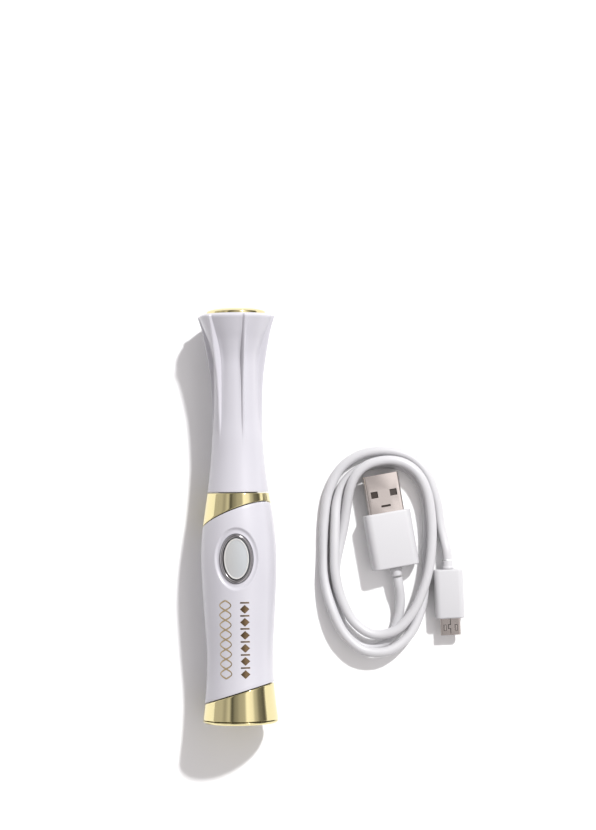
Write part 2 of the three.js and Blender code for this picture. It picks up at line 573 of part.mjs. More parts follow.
function addMicroUsb(lead) {
  const plug = plugGroup(MICRO);
  let shell = sheetTube(MICRO_SHELL, 0.5, -4, MICRO_SHELL_LENGTH);
  for (const x of [-1.9, 1.9]) {
    shell = shell.subtract(solid(box(1.3, 2.4, 2, x, 3.2, 1.2)));
  }
  add(plug, 'micro_usb_shell', geometryOf(shell), STEEL);
  add(plug, 'micro_usb_insulator', box(5.4, 8.0, 0.45, 0, 0.9, -0.05), CHIP_BLACK);
  add(plug, 'micro_usb_latch_left', box(0.7, 1.8, 0.45, -1.9, 3.2, 0.85), STEEL);
  add(plug, 'micro_usb_latch_right', box(0.7, 1.8, 0.45, 1.9, 3.2, 0.85), STEEL);
  add(plug, 'micro_usb_grip', geometryOf(grip(MICRO_GRIP, 2.0, MICRO_GRIP_LENGTH, MICRO_SHELL)), LEAD_WHITE);
  add(plug, 'micro_usb_strain_relief', relief(MICRO_GRIP_LENGTH), LEAD_WHITE);
  lead.add(plug);
}

// ---- Assembly ----
const curler = new THREE.Group();
curler.position.set(0, -LENGTH / 2, AXIS_HEIGHT);
curler.rotation.y = THREE.MathUtils.degToRad(ROLL);
addCasings(curler);
addInternals(curler);
addHead(curler);
addCap(curler);

const lead = new THREE.Group();
addUsbA(lead);
addMicroUsb(lead);
add(lead, 'lead_cable', tube(CORD_ROUTE, CORD_DIAMETER, CORD_STEPS), LEAD_WHITE);

const model = new THREE.Group();
model.add(curler, lead);
export default model;
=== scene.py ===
"""A rechargeable heated eyelash curler with its cap on, and its USB charging lead, on a white floor."""

import math

import bmesh
import bpy
from mathutils import Matrix, Vector


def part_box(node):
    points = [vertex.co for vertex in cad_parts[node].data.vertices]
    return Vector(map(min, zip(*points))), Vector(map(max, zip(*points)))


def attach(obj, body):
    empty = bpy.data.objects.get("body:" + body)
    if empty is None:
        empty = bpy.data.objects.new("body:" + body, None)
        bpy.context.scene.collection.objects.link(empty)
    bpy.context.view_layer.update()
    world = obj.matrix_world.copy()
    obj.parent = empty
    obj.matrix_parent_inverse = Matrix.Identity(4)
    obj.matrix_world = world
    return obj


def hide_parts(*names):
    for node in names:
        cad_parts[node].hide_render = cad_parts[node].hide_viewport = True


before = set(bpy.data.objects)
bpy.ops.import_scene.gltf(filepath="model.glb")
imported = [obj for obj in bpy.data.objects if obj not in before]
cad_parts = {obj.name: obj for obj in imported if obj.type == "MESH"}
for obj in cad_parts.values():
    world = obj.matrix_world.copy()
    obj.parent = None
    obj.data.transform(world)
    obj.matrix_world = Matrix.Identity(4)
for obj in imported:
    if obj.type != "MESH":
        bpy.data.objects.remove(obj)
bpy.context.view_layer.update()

# ---- Driving dimensions. Shapes are written in millimetres and become metres when their mesh is made. ----
# The curler's own frame: x to the right, station from the base towards the cap, height above the axis.
MM = 0.001
BASE_LOW, BASE_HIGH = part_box("base_cap")
BASE_Y = BASE_LOW[1] / MM
AXIS_Z = (BASE_LOW[2] + BASE_HIGH[2]) / 2 / MM

ROLL = -2.9
GAP = 0.3
WALL = 1.4
# The rounding at the ends of each shell, and the angles in radians at which its rings stand.
LIP = 0.18
LIP_ANGLES = (0, 0.5, 1.0)

# The handle's outside, as (station, radius).
HANDLE_OUTLINE = [(0, 12.8), (12, 11.5), (23, 11.12), (38, 12.0), (54.5, 12.72), (66, 12.05), (77.1, 10.45)]
BASE_FLANGE = 0.9
FLANGE_RADIUS = 12.75
BASE_SPIGOT = {"outer": 10.5, "inner": 9.7, "end": 4}
PORT_OPENING = {"width": 8.1, "height": 3.1, "radius": 1.0, "start": -1, "end": 4}
PORT_HEIGHT = 5.95
# The slanted joints with the gold sleeves: the station at the axis, and the rise per millimetre right and up.
BASE_SWOOSH = {"at": 9.93, "slope_x": 0.302, "slope_z": 0.038}
COLLAR_SWOOSH = {"at": 69.5, "slope_x": 0.362, "slope_z": 0.222}
SWOOSH_GAP = 0.35

# Ovals are (across, along). Drops are below the handle's surface, and feet are heights above the axis.
BUTTON_STATION = 55.3
DISH_OVAL = (14.6, 20.8)
DISH_DEPTH = 0.75
DISH_FLOOR = 0.9
DISH_CURVE = 1.7
BEZEL_OVAL = (11.1, 16.5)
BEZEL_INNER_OVAL = (9.05, 14.2)
BUTTON_OVAL = (8.55, 13.7)
BUTTON_FLANGE_OVAL = (10.2, 15.2)
BEZEL_DROP = 0.12
BEZEL_CROWN = 0.55
BUTTON_DROP = 0.5
BUTTON_CROWN = 0.13
BUTTON_FLANGE = 0.6
BEZEL_FOOT = 9.3
BUTTON_FOOT = 8.4

RIDGES = 6
FIRST_RIDGE = 18.4
CAP_RIM = 136.2
CAP_SHOULDER = 137.35
END_DISC_RADIUS = 10.0
DISC_SEAT = 136.3
DISC_BACK = 136.6
DISC_EDGE = 137.9
DISC_DOME = 1.7
# The cap's inside and its liner, as (radius, station).
CAP_SOCKET = 7.8
CAP_BORE_OUTLINE = [(0, 134.2), (5.4, 133.4), (6.6, 130), (6.6, 92.2), (CAP_SOCKET, 90.5)]
LINER_OUTLINE = [(6.9, 77.9), (7.5, 77.9), (7.5, 90.2), (6.9, 90.2)]
# The cap's outside along a ridge and along the floor of a channel, as (station, radius).
RIDGE_OUTLINE = [
    (77.4, 10.3), (81.7, 9.75), (86, 9.25), (91, 8.82), (96, 8.62), (102, 8.7),
    (110, 8.9), (117, 9.4), (122.5, 10.2), (128, 11.2), (132, 12.05), (136, 13.3),
]
FLOOR_OUTLINE = [
    (77.4, 10.3), (81.7, 9.75), (86, 9.25), (91, 8.82), (96, 8.5), (102, 7.95),
    (110, 7.72), (117, 7.68), (122.5, 7.85), (128, 9.2), (132, 10.75), (136, 12.3),
]
# One channel from ridge to ridge: (share of the sector, share of the ridge's height).
CHANNEL_SECTION = [
    (0, 1), (0.03, 0.9), (0.09, 0.1), (0.2, 0), (0.5, 0.05), (0.84, 0), (0.93, 0.1), (0.98, 0.9), (1, 1),
]

# The cord is in metres.
CORD_DIAMETER = 0.0033

SHEET_METAL = 0.3
SHELL_DEPTH = 4.0
GRIP_EDGE = 0.55
# The strain relief behind a grip, as (radius, place along Y from the grip's end).
RELIEF_OUTLINE = [(0, -2.8), (1.72, -2.8), (1.78, -1.0), (2.0, -0.8), (2.0, -0.1), (0, -0.1)]

# Each plug in its own frame, tip along +Y and grip from y = 0 back. The shell and the grip are (width,
# height, corner radius, length). A cut is (size, middle), and a box is (part, size, middle, edge, edge
# steps, finish).
USB_A = {
    "piece": "plug_a", "node": "usb_a", "place": (50.0, 0.1, 4.58), "yaw": 9.2, "roll": 8,
    "shell": (12, 4.5, 0.6, 13), "shell_edge": 0.06, "grip": (16, 7.6, 2.4, 19),
    "cuts": [
        ((2.4, 2.2, 10), (-3.3, 6.4, 0)),
        ((2.4, 2.2, 10), (3.3, 6.4, 0)),
        ((3.2, 0.7, 3), (0, 2.2, 2)),
    ],
    "boxes": [
        # The insulator, seen through the shell's holes, is painted dark as the shade of the hollow behind them.
        ("insulator", (10.8, 15.2, 1.7), (0, 4.4, 0.95), 0.15, 3, "insulator_brown"),
        *[(f"contact_{i + 1}", (1.1, 8.6, 0.2), (-3.6 + 2.4 * i, 7.2, -0.3), 0.06, 2, "contact_gold")
          for i in range(4)],
    ],
}
# Along the middle of the micro-USB shell its folded edges meet in a dovetail, which the last five cuts draw.
MICRO = {
    "piece": "micro_plug", "node": "micro_usb", "place": (71.3, -36.1, 3.52), "yaw": 181.7, "roll": 0,
    "shell": (6.85, 1.85, 0.5, 5.7), "shell_edge": 0.05, "grip": (9.9, 7.0, 2.0, 16.6),
    "cuts": [
        ((0.95, 2.05, 2), (-1.9, 3.2, 1.2)),
        ((0.95, 2.05, 2), (1.9, 3.2, 1.2)),
        ((0.2, 2.2, 0.8), (0.0, 1.1, 0.925)),
        ((0.9, 0.2, 0.8), (0.35, 2.15, 0.925)),
        ((0.2, 1.5, 0.8), (0.7, 2.85, 0.925)),
        ((0.9, 0.2, 0.8), (0.35, 3.55, 0.925)),
        ((0.2, 2.3, 0.8), (0.0, 4.6, 0.925)),
    ],
    "boxes": [
        ("insulator", (5.4, 8.0, 0.45), (0, 0.9, -0.05), 0.08, 3, "chip_black"),
        ("latch_left", (0.7, 1.8, 0.45), (-1.9, 3.2, 0.85), 0.12, 3, "plug_steel"),
        ("latch_right", (0.7, 1.8, 0.45), (1.9, 3.2, 0.85), 0.12, 3, "plug_steel"),
    ],
}

# The cord's centreline in metres: almost three loose turns, from the USB-A plug to the micro-USB plug.
CORD_ROUTE = [
    (0.05353, -0.0220, 0.00458), (0.05395, -0.0246, 0.0043), (0.0544, -0.0284, 0.0032),
    (0.0542, -0.0332, 0.0021), (0.0531, -0.0380, 0.00175), (0.0508, -0.0424, 0.0017),
    (0.0469, -0.0454, 0.00167), (0.0420, -0.0456, 0.00167), (0.0373, -0.0424, 0.00167),
    (0.0340, -0.0360, 0.00167), (0.0324, -0.0284, 0.00167), (0.0324, -0.0210, 0.00167),
    (0.0333, -0.0146, 0.00167), (0.0346, -0.0090, 0.0017), (0.0357, -0.0040, 0.00215),
    (0.0365, 0.0010, 0.00295), (0.0372, 0.0054, 0.0039), (0.0382, 0.0094, 0.0047),
    (0.0401, 0.0131, 0.0051), (0.0434, 0.0159, 0.0052), (0.0478, 0.0174, 0.0052),
    (0.0526, 0.0176, 0.0052), (0.0572, 0.0162, 0.0052), (0.0610, 0.0130, 0.00515),
    (0.0638, 0.0074, 0.0050), (0.0652, -0.0006, 0.0049), (0.0654, -0.0094, 0.0049),
    (0.0645, -0.0180, 0.00495), (0.0621, -0.0266, 0.0050), (0.0582, -0.0344, 0.0050),
    (0.0522, -0.0402, 0.0050), (0.0450, -0.0412, 0.0046), (0.0389, -0.0372, 0.0044),
    (0.0347, -0.0296, 0.0048), (0.0325, -0.0204, 0.0050), (0.0324, -0.0116, 0.0046),
    (0.0327, -0.0034, 0.0034), (0.0333, 0.0036, 0.00225), (0.0356, 0.0096, 0.00172),
    (0.0398, 0.0139, 0.00167), (0.0460, 0.0163, 0.00167), (0.0526, 0.0164, 0.00167),
    (0.0582, 0.0142, 0.00167), (0.0620, 0.0092, 0.00167), (0.0639, 0.0022, 0.00167),
    (0.0642, -0.0066, 0.00167), (0.0638, -0.0158, 0.00167), (0.0630, -0.0250, 0.00172),
    (0.0612, -0.0340, 0.0024), (0.0570, -0.0420, 0.0036), (0.0498, -0.0470, 0.00495),
    (0.0418, -0.0466, 0.00495), (0.0355, -0.0412, 0.00495), (0.0314, -0.0328, 0.0046),
    (0.0290, -0.0232, 0.0031), (0.0288, -0.0132, 0.00195), (0.0290, -0.0032, 0.00168),
    (0.0306, 0.0072, 0.00167), (0.0350, 0.0154, 0.00167), (0.0420, 0.0199, 0.00167),
    (0.0502, 0.0209, 0.00167), (0.0583, 0.0188, 0.00167), (0.0638, 0.0136, 0.00167),
    (0.0672, 0.0046, 0.00168), (0.0685, -0.0042, 0.00185), (0.0697, -0.0099, 0.0026),
    (0.07045, -0.0134, 0.0034), (0.07072, -0.0162, 0.00352),
]


# ---- Materials ----
LOOKS = {}


def surface(name, colour, roughness, metallic=0.0, grain=2600, stretch=(1, 1, 1),
            tone=0.05, spread=0.06, height=0.00001, **sockets):
    """Makes a moulded or metal finish and files it in LOOKS. Colour and gloss drift over the surface, and a
    fine grain lifts it. grain is the fine noise's scale per metre, tone the share of the colour that is lost
    where it is darkest, spread the range of roughness, and height the depth of the grain in metres."""
    look = bpy.data.materials.new(name)
    look.use_nodes = True
    tree = look.node_tree
    shader = tree.nodes["Principled BSDF"]
    shader.inputs["Metallic"].default_value = metallic
    for socket, value in sockets.items():
        shader.inputs[socket.replace("_", " ")].default_value = value
    place = tree.nodes.new("ShaderNodeTexCoord")
    scaling = tree.nodes.new("ShaderNodeMapping")
    scaling.inputs["Scale"].default_value = stretch
    tree.links.new(place.outputs["Object"], scaling.inputs["Vector"])
    noises = []
    for scale, detail in ((grain, 4.0), (grain / 9, 3.0)):
        noise = tree.nodes.new("ShaderNodeTexNoise")
        noise.inputs["Scale"].default_value = scale
        noise.inputs["Detail"].default_value = detail
        tree.links.new(scaling.outputs["Vector"], noise.inputs["Vector"])
        noises.append(noise)
    fine, broad = noises
    blend = tree.nodes.new("ShaderNodeMix")
    blend.data_type = "RGBA"
    blend.inputs["A"].default_value = (*colour, 1)
    blend.inputs["B"].default_value = (*[c * (1 - tone) for c in colour], 1)
    tree.links.new(broad.outputs["Fac"], blend.inputs["Factor"])
    tree.links.new(blend.outputs["Result"], shader.inputs["Base Color"])
    gloss = tree.nodes.new("ShaderNodeMapRange")
    gloss.inputs["From Min"].default_value = 0.3
    gloss.inputs["From Max"].default_value = 0.7
    gloss.inputs["To Min"].default_value = max(roughness - spread / 2, 0.02)
    gloss.inputs["To Max"].default_value = roughness + spread / 2
    tree.links.new(broad.outputs["Fac"], gloss.inputs["Value"])
    tree.links.new(gloss.outputs["Result"], shader.inputs["Roughness"])
    lift = tree.nodes.new("ShaderNodeBump")
    lift.inputs["Distance"].default_value = height
    tree.links.new(fine.outputs["Fac"], lift.inputs["Height"])
    tree.links.new(lift.outputs["Normal"], shader.inputs["Normal"])
    LOOKS[name] = look
    return look


def repaint(look, factor, colour):
    """Mixes a second colour over a finish, by a factor between 0 and 1."""
    tree = look.node_tree
    shader = tree.nodes["Principled BSDF"]
    under = shader.inputs["Base Color"].links[0].from_socket
    blend = tree.nodes.new("ShaderNodeMix")
    blend.data_type = "RGBA"
    blend.inputs["B"].default_value = (*colour, 1)
    tree.links.new(under, blend.inputs["A"])
    tree.links.new(factor, blend.inputs["Factor"])
    tree.links.new(blend.outputs["Result"], shader.inputs["Base Color"])


def add_board_look():
    """Green solder mask with paler copper tracks running along the board."""
    look = surface("board_green", (0.02, 0.16, 0.06), 0.4, grain=2500, tone=0.3)
    tree = look.node_tree
    place = tree.nodes.new("ShaderNodeTexCoord")
    tracks = tree.nodes.new("ShaderNodeTexBrick")
    tracks.inputs["Scale"].default_value = 420
    tracks.inputs["Mortar Size"].default_value = 0.035
    tracks.inputs["Brick Width"].default_value = 1.3
    tree.links.new(place.outputs["Object"], tracks.inputs["Vector"])
    repaint(look, tracks.outputs["Fac"], (0.10, 0.36, 0.14))


CELL_BAND = {"station": 44, "half_width": 2}


def add_cell_look():
    """Shrink wrap with a pale band near the positive end."""
    look = surface("cell_wrap", (0.03, 0.12, 0.33), 0.35, grain=1400, tone=0.2)
    tree = look.node_tree
    place = tree.nodes.new("ShaderNodeTexCoord")
    split = tree.nodes.new("ShaderNodeSeparateXYZ")
    band = tree.nodes.new("ShaderNodeMath")
    band.operation = "COMPARE"
    band.inputs[1].default_value = (CELL_BAND["station"] + BASE_Y) * MM
    band.inputs[2].default_value = CELL_BAND["half_width"] * MM
    tree.links.new(place.outputs["Object"], split.inputs["Vector"])
    tree.links.new(split.outputs["Y"], band.inputs[0])
    repaint(look, band.outputs["Value"], (0.75, 0.77, 0.8))


def add_lens_look():
    """Milky grey lens, a little warmer and paler towards one side."""
    look = surface("button_lens", (0.44, 0.46, 0.475), 0.32, grain=1800, tone=0.06, Coat_Weight=0.4)
    tree = look.node_tree
    place = tree.nodes.new("ShaderNodeTexCoord")
    split = tree.nodes.new("ShaderNodeSeparateXYZ")
    fade = tree.nodes.new("ShaderNodeMapRange")
    fade.inputs["From Min"].default_value = 1.5 * MM
    fade.inputs["From Max"].default_value = -4.2 * MM
    fade.inputs["To Max"].default_value = 0.55
    tree.links.new(place.outputs["Object"], split.inputs["Vector"])
    tree.links.new(split.outputs["X"], fade.inputs["Value"])
    repaint(look, fade.outputs["Result"], (0.50, 0.485, 0.46))


surface("white_gloss", (0.548, 0.54, 0.582), 0.3, grain=900, tone=0.015, spread=0.03, height=0.0000012,
        Coat_Weight=0.15)
surface("gold_trim", (0.77, 0.69, 0.385), 0.09, 1.0, stretch=(1, 0.15, 1), tone=0.06, spread=0.05,
        height=0.000001)
surface("dark_chrome", (0.40, 0.39, 0.40), 0.14, 1.0, grain=3000, height=0.000001)
add_lens_look()
surface("lens_rim", (0.62, 0.61, 0.59), 0.3, grain=2500)
surface("frosted_plastic", (0.74, 0.78, 0.80), 0.5, grain=2500, tone=0.08)
surface("inner_grey", (0.045, 0.047, 0.05), 0.55, grain=1600, tone=0.2, height=0.00002)
surface("heat_resin", (0.022, 0.022, 0.025), 0.38, grain=3200, tone=0.25)
surface("hot_metal", (0.66, 0.47, 0.24), 0.22, 1.0, grain=2200, stretch=(1, 0.08, 1), tone=0.12)
surface("insulator_white", (0.82, 0.80, 0.75), 0.55, tone=0.08)
# The USB-A insulator's near-black brown is painted shade. It stands for the dark hollow seen through the
# shell's holes, not for the insulator's own colour.
surface("insulator_brown", (0.03, 0.017, 0.011), 0.5, tone=0.3)
add_board_look()
surface("chip_black", (0.012, 0.012, 0.014), 0.42, grain=5000, tone=0.3)
surface("plug_steel", (0.64, 0.585, 0.55), 0.17, 1.0, grain=3800, stretch=(0.12, 1, 1), tone=0.08,
        spread=0.08, height=0.000002)
surface("nickel", (0.62, 0.61, 0.58), 0.26, 1.0, grain=3000, tone=0.1)
add_cell_look()
surface("foam", (0.07, 0.07, 0.075), 0.95, tone=0.5, height=0.0002)
surface("wire_red", (0.42, 0.02, 0.02), 0.45, tone=0.15)
surface("wire_black", (0.015, 0.015, 0.016), 0.45, tone=0.2)
surface("seal_rubber", (0.62, 0.61, 0.58), 0.7, tone=0.1, height=0.00002)
surface("lead_white", (0.57, 0.567, 0.582), 0.42, grain=1600, tone=0.02, spread=0.04, height=0.000003)
surface("contact_gold", (0.82, 0.60, 0.22), 0.2, 1.0, tone=0.08)
surface("foil_light", (0.72, 0.58, 0.36), 0.24, 1.0, tone=0.15)
surface("foil_dark", (0.26, 0.18, 0.10), 0.2, 1.0, tone=0.7)

# The finish of each CAD node that stays as it is.
NODE_SLOTS = {
    "inner_frame": "inner_grey",
    "battery_cell": "cell_wrap",
    "battery_tab_front": "nickel",
    "battery_tab_rear": "nickel",
    "battery_pad_front": "foam",
    "battery_pad_rear": "foam",
    "circuit_board": "board_green",
    "charger_chip": "chip_black",
    "power_inductor": "chip_black",
    "control_chip": "chip_black",
    "tact_switch": "chip_black",
    "switch_plunger": "insulator_white",
    "led_ready": "frosted_plastic",
    "led_charge": "frosted_plastic",
    "light_guide": "frosted_plastic",
    "charge_port_shell": "plug_steel",
    "charge_port_insulator": "chip_black",
    "thermal_fuse": "nickel",
    "battery_lead_positive": "wire_red",
    "battery_lead_negative": "wire_black",
    "heater_lead_positive": "wire_red",
    "heater_lead_negative": "wire_black",
    "neck_screw_left": "plug_steel",
    "neck_screw_right": "plug_steel",
    "heating_element": "insulator_white",
}


# ---- Mesh helpers ----
CURLER = Matrix.Translation(Vector((0, BASE_Y, AXIS_Z)) * MM) @ Matrix.Rotation(math.radians(ROLL), 4, "Y")


def at(x, station, height):
    """A point of the curler's own frame, in the row frame in metres."""
    return CURLER @ (Vector((x, station, height)) * MM)


def raised(height):
    """From metres in the curler's own frame to the row frame, moved up from the axis by a height."""
    return CURLER @ Matrix.Translation((0, 0, height * MM))


def turned_at(radius, station, angle):
    """A point round the curler's axis; the angle is from straight up towards +X."""
    return at(radius * math.sin(angle), station, radius * math.cos(angle))


def curve_at(outline, station):
    """The radius at a station, on a smooth curve through (station, radius) pairs."""
    last = len(outline) - 1
    i = 0
    while i < last - 1 and station > outline[i + 1][0]:
        i += 1

    def slope(k):
        before, after = outline[max(k - 1, 0)], outline[min(k + 1, last)]
        return (after[1] - before[1]) / (after[0] - before[0])

    (s0, r0), (s1, r1) = outline[i], outline[i + 1]
    span = s1 - s0
    t = (station - s0) / span
    return (r0 * (1 + 2 * t) * (1 - t) ** 2 + slope(i) * span * t * (1 - t) ** 2
            + r1 * t * t * (3 - 2 * t) + slope(i + 1) * span * t * t * (t - 1))


def smoothstep(low, high, value):
    t = min(max((value - low) / (high - low), 0), 1)
    return t * t * (3 - 2 * t)


def spaced(spans):
    """Values over several spans, each (start, end, step), without repeating the places where they meet."""
    values = []
    for start, end, step in spans:
        count = max(1, math.ceil((end - start) / step))
        values += [start + (end - start) * i / count for i in range(count)]
    return values + [spans[-1][1]]


def angles(count):
    return [2 * math.pi * i / count for i in range(count)]


def loft(rings, join=False):
    """A bmesh of faces between closed rings of points; a ring of one point closes an end."""
    mesh = bmesh.new()
    rows = [[mesh.verts.new(point) for point in ring] for ring in rings]
    pairs = list(zip(rows, rows[1:]))
    if join:
        pairs.append((rows[-1], rows[0]))
    for low, high in pairs:
        count = max(len(low), len(high))
        for i in range(count if count > 1 else 0):
            j = (i + 1) % count
            corners = [low[i % len(low)], low[j % len(low)], high[j % len(high)], high[i % len(high)]]
            mesh.faces.new(list(dict.fromkeys(corners)))
    bmesh.ops.recalc_face_normals(mesh, faces=mesh.faces)
    return mesh


def lathe(profile, count=128):
    """A body of revolution from (radius, station) points; it closes on the axis or on itself."""
    rings = []
    for radius, station in profile:
        columns = angles(count) if radius > 0 else [0]
        rings.append([turned_at(radius, station, a) for a in columns])
    return loft(rings, join=profile[0][0] > 0)


ARC_STEPS = 4


def rounded(profile, radius, closed=True):
    """A profile with each of its corners turned into a small arc; points on the axis stay sharp."""
    points = [Vector(p) for p in profile]
    result = []
    for i, corner in enumerate(points):
        before, after = points[i - 1], points[(i + 1) % len(points)]
        edge = not closed and i in (0, len(points) - 1)
        if edge or corner.x == 0:
            result.append(tuple(corner))
            continue
        back, on = before - corner, after - corner
        reach = min(radius, back.length * 0.45, on.length * 0.45)
        a, b = corner + back.normalized() * reach, corner + on.normalized() * reach
        for k in range(ARC_STEPS + 1):
            t = k / ARC_STEPS
            result.append(tuple(a * (1 - t) ** 2 + corner * 2 * t * (1 - t) + b * t * t))
    return result


def with_modifiers(mesh, add_modifiers):
    """The bmesh after modifiers have been applied to it."""
    data = bpy.data.meshes.new("work")
    mesh.to_mesh(data)
    mesh.free()
    holder = bpy.data.objects.new("work", data)
    bpy.context.scene.collection.objects.link(holder)
    add_modifiers(holder)
    done = bpy.data.meshes.new_from_object(holder.evaluated_get(bpy.context.evaluated_depsgraph_get()))
    result = bmesh.new()
    result.from_mesh(done)
    bpy.data.objects.remove(holder)
    bpy.data.meshes.remove(data)
    bpy.data.meshes.remove(done)
    return result


def combined(mesh, tool, operation):
    """The bmesh joined with or cut by another one."""
    data = bpy.data.meshes.new("tool")
    tool.to_mesh(data)
    tool.free()
    cutter = bpy.data.objects.new("tool", data)
    bpy.context.scene.collection.objects.link(cutter)

    def add_boolean(holder):
        step = holder.modifiers.new("combine", "BOOLEAN")
        step.operation = operation
        step.object = cutter
        step.solver = "EXACT"

    result = with_modifiers(mesh, add_boolean)
    bpy.data.objects.remove(cutter)
    bpy.data.meshes.remove(data)
    return result


BEVEL_ANGLE = 35


def bevelled(mesh, width, segments=3):
    """The bmesh with its sharper edges rounded off over a width in millimetres."""
    def add_bevel(holder):
        step = holder.modifiers.new("bevel", "BEVEL")
        step.width = width * MM
        step.segments = segments
        step.limit_method = "ANGLE"
        step.angle_limit = math.radians(BEVEL_ANGLE)

    return with_modifiers(mesh, add_bevel)


SHARP_ANGLE = 38
FINE_SHARP_ANGLE = 18


def piece(name, mesh, slot, body, stands_for=(), sharp=SHARP_ANGLE, matrix=None, looks=None):
    """An object from a bmesh, smooth but for its sharp edges, with its finish, body and CAD nodes."""
    if matrix is not None:
        bmesh.ops.transform(mesh, matrix=matrix, verts=mesh.verts)
    data = bpy.data.meshes.new(name)
    mesh.to_mesh(data)
    mesh.free()
    data.polygons.foreach_set("use_smooth", [True] * len(data.polygons))
    data.set_sharp_from_angle(angle=math.radians(sharp))
    for look in looks or [slot]:
        data.materials.append(LOOKS[look])
    obj = bpy.data.objects.new(name, data)
    bpy.context.scene.collection.objects.link(obj)
    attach(obj, body)
    if stands_for:
        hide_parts(*stands_for)
    return obj


# ---- Camera, floor and light ----
CAMERA_HEIGHT = 900
AIM = (20.5, 33.3, 12.8)
CAMERA_FOOT = (20.24, 10.85)
CAMERA_UP = (0.0125, 1, 0)
FIELD_WIDTH = 200.7
SENSOR_WIDTH = 36

# The floor's side in metres.
FLOOR_SIZE = 4.0

# The sun's direction, strength and width in degrees.
SUN_FROM = (0.555, 0.84, 1.0)
SUN_STRENGTH = 3.3
SUN_WIDTH = 3.8
STUDIO_TINT = (1.0, 0.965, 0.975)
# The studio round the object, from the left horizon overhead to the right one: (angle, brightness).
STUDIO = [
    (-90, 0.64), (-62, 0.62), (-50, 0.46), (-36, 0.74), (-26, 0.12), (-14, 0.34), (2, 0.54), (14, 0.6),
    (22, 1.4), (38, 1.25), (50, 0.64), (66, 0.24), (82, 0.14), (90, 0.58),
]


def add_camera():
    data = bpy.data.cameras.new("camera")
    data.sensor_fit = "HORIZONTAL"
    data.sensor_width = SENSOR_WIDTH
    place = Vector((*CAMERA_FOOT, CAMERA_HEIGHT))
    data.lens = SENSOR_WIDTH * (CAMERA_HEIGHT - AIM[2]) / FIELD_WIDTH
    data.clip_start = 0.01
    back = (place - Vector(AIM)).normalized()
    right = Vector(CAMERA_UP).cross(back).normalized()
    turn = Matrix((right, back.cross(right), back)).transposed()
    camera = bpy.data.objects.new("camera", data)
    camera.matrix_world = Matrix.Translation(place * MM) @ turn.to_4x4()
    bpy.context.scene.collection.objects.link(camera)
    bpy.context.scene.camera = camera


def add_light():
    data = bpy.data.lights.new("key", "SUN")
    data.energy = SUN_STRENGTH
    data.angle = math.radians(SUN_WIDTH)
    key = bpy.data.objects.new("key", data)
    key.rotation_euler = Vector(SUN_FROM).to_track_quat("Z", "Y").to_euler()
    bpy.context.scene.collection.objects.link(key)

    world = bpy.data.worlds.new("studio")
    world.use_nodes = True
    bpy.context.scene.world = world
    tree = world.node_tree
    backdrop = tree.nodes["Background"]
    place = tree.nodes.new("ShaderNodeTexCoord")
    split = tree.nodes.new("ShaderNodeSeparateXYZ")
    lean = tree.nodes.new("ShaderNodeMath")
    lean.operation = "ARCTAN2"
    swing = tree.nodes.new("ShaderNodeMapRange")
    swing.inputs["From Min"].default_value = -math.pi / 2
    swing.inputs["From Max"].default_value = math.pi / 2
    ramp = tree.nodes.new("ShaderNodeValToRGB")
    ramp.color_ramp.interpolation = "EASE"
    stops = ramp.color_ramp.elements
    brightest = max(value for _, value in STUDIO)
    while len(stops) < len(STUDIO):
        stops.new(0.5)
    for stop, (angle, value) in zip(stops, STUDIO):
        stop.position = (angle + 90) / 180
        stop.color = (*[share * value / brightest for share in STUDIO_TINT], 1)
    backdrop.inputs["Strength"].default_value = brightest
    tree.links.new(place.outputs["Generated"], split.inputs["Vector"])
    tree.links.new(split.outputs["X"], lean.inputs[0])
    tree.links.new(split.outputs["Z"], lean.inputs[1])
    tree.links.new(lean.outputs["Value"], swing.inputs["Value"])
    tree.links.new(swing.outputs["Result"], ramp.inputs["Fac"])
    tree.links.new(ramp.outputs["Color"], backdrop.inputs["Color"])
    bpy.context.scene.view_settings.view_transform = "Standard"


def add_floor():
    mesh = bmesh.new()
    bmesh.ops.create_grid(mesh, x_segments=8, y_segments=8, size=FLOOR_SIZE / 2)
    data = bpy.data.meshes.new("floor")
    mesh.to_mesh(data)
    mesh.free()
    paper = surface("floor_paper", (0.95, 0.95, 0.95), 0.9, grain=60, tone=0.01, Specular_IOR_Level=0.1)
    data.materials.append(paper)
    floor = bpy.data.objects.new("floor", data)
    bpy.context.scene.collection.objects.link(floor)


# ---- Charging lead ----
def catmull_rom(points, per_span):
    """Points on the smooth centripetal curve through a list of points."""
    spots = [Vector(p) for p in points]
    spots = [spots[0] * 2 - spots[1]] + spots + [spots[-1] * 2 - spots[-2]]
    result = []
    for i in range(1, len(spots) - 2):
        p0, p1, p2, p3 = spots[i - 1:i + 3]
        d0, d1, d2 = [math.sqrt((b - a).length) for a, b in ((p0, p1), (p1, p2), (p2, p3))]
        m1 = (p1 - p0) / d0 - (p2 - p0) / (d0 + d1) + (p2 - p1) / d1
        m2 = (p2 - p1) / d1 - (p3 - p1) / (d1 + d2) + (p3 - p2) / d2
        m1, m2 = m1 * d1, m2 * d1
        for k in range(per_span):
            t = k / per_span
            result.append(p1 * (1 + 2 * t) * (1 - t) ** 2 + m1 * t * (1 - t) ** 2
                          + p2 * t * t * (3 - 2 * t) + m2 * t * t * (t - 1))
    return result + [spots[-2]]


def plug_matrix(plug):
    """From a plug's own frame in metres to the row frame."""
    yaw = Matrix.Rotation(math.radians(plug["yaw"]), 4, "Z")
    roll = Matrix.Rotation(math.radians(plug["roll"]), 4, "Y")
    return Matrix.Translation(Vector(plug["place"]) * MM) @ yaw @ roll


def rectangle(width, height, radius, steps):
    """Points of a rounded rectangle in X and Z, anticlockwise."""
    points = []
    for cx, cz, start in ((1, 1, 0), (-1, 1, 90), (-1, -1, 180), (1, -1, 270)):
        for k in range(steps + 1):
            angle = math.radians(start + 90 * k / steps)
            points.append((cx * (width / 2 - radius) + radius * math.cos(angle),
                           cz * (height / 2 - radius) + radius * math.sin(angle)))
    return points


